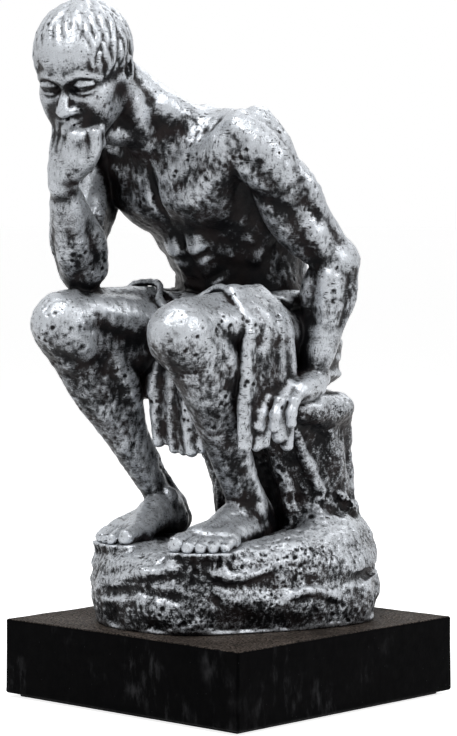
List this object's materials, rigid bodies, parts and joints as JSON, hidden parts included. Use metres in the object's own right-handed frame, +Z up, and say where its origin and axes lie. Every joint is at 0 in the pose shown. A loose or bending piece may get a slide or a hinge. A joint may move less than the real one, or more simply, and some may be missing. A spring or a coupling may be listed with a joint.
{
  "type": "seated thinking figure statue",
  "caption": "Cast ornament: a seated draped figure, chin on hand, on a rough rock over a square black plinth.",
  "frame": {"origin": "centre of the felt's lower face, where the ornament stands", "axes": "+Z up, the plinth's sides along X and Y; the figure faces -Y with its left side towards +X"},
  "size_m": [0.12, 0.1386, 0.26],
  "materials": {
    "antique_silver": "antique silver paint rubbed off the high spots over black, satin",
    "antique_silver_rock": "antique silver paint over black on a pitted cast surface, satin",
    "black_plinth": "satin black paint with faint grey scuffs and a brown dusting on top",
    "dowel_steel": "ground steel",
    "insert_brass": "turned brass",
    "zinc_steel": "zinc plated",
    "felt": "black pressed felt"
  },
  "bodies": {
    "root": {"figure": "antique_silver", "rock": "antique_silver_rock", "plinth": "black_plinth", "seat_dowels": "dowel_steel", "foot_dowels": "dowel_steel", "threaded_inserts": "insert_brass", "base_washers": "zinc_steel", "base_screws": "zinc_steel", "base_felt": "felt"}
  },
  "joints": []
}
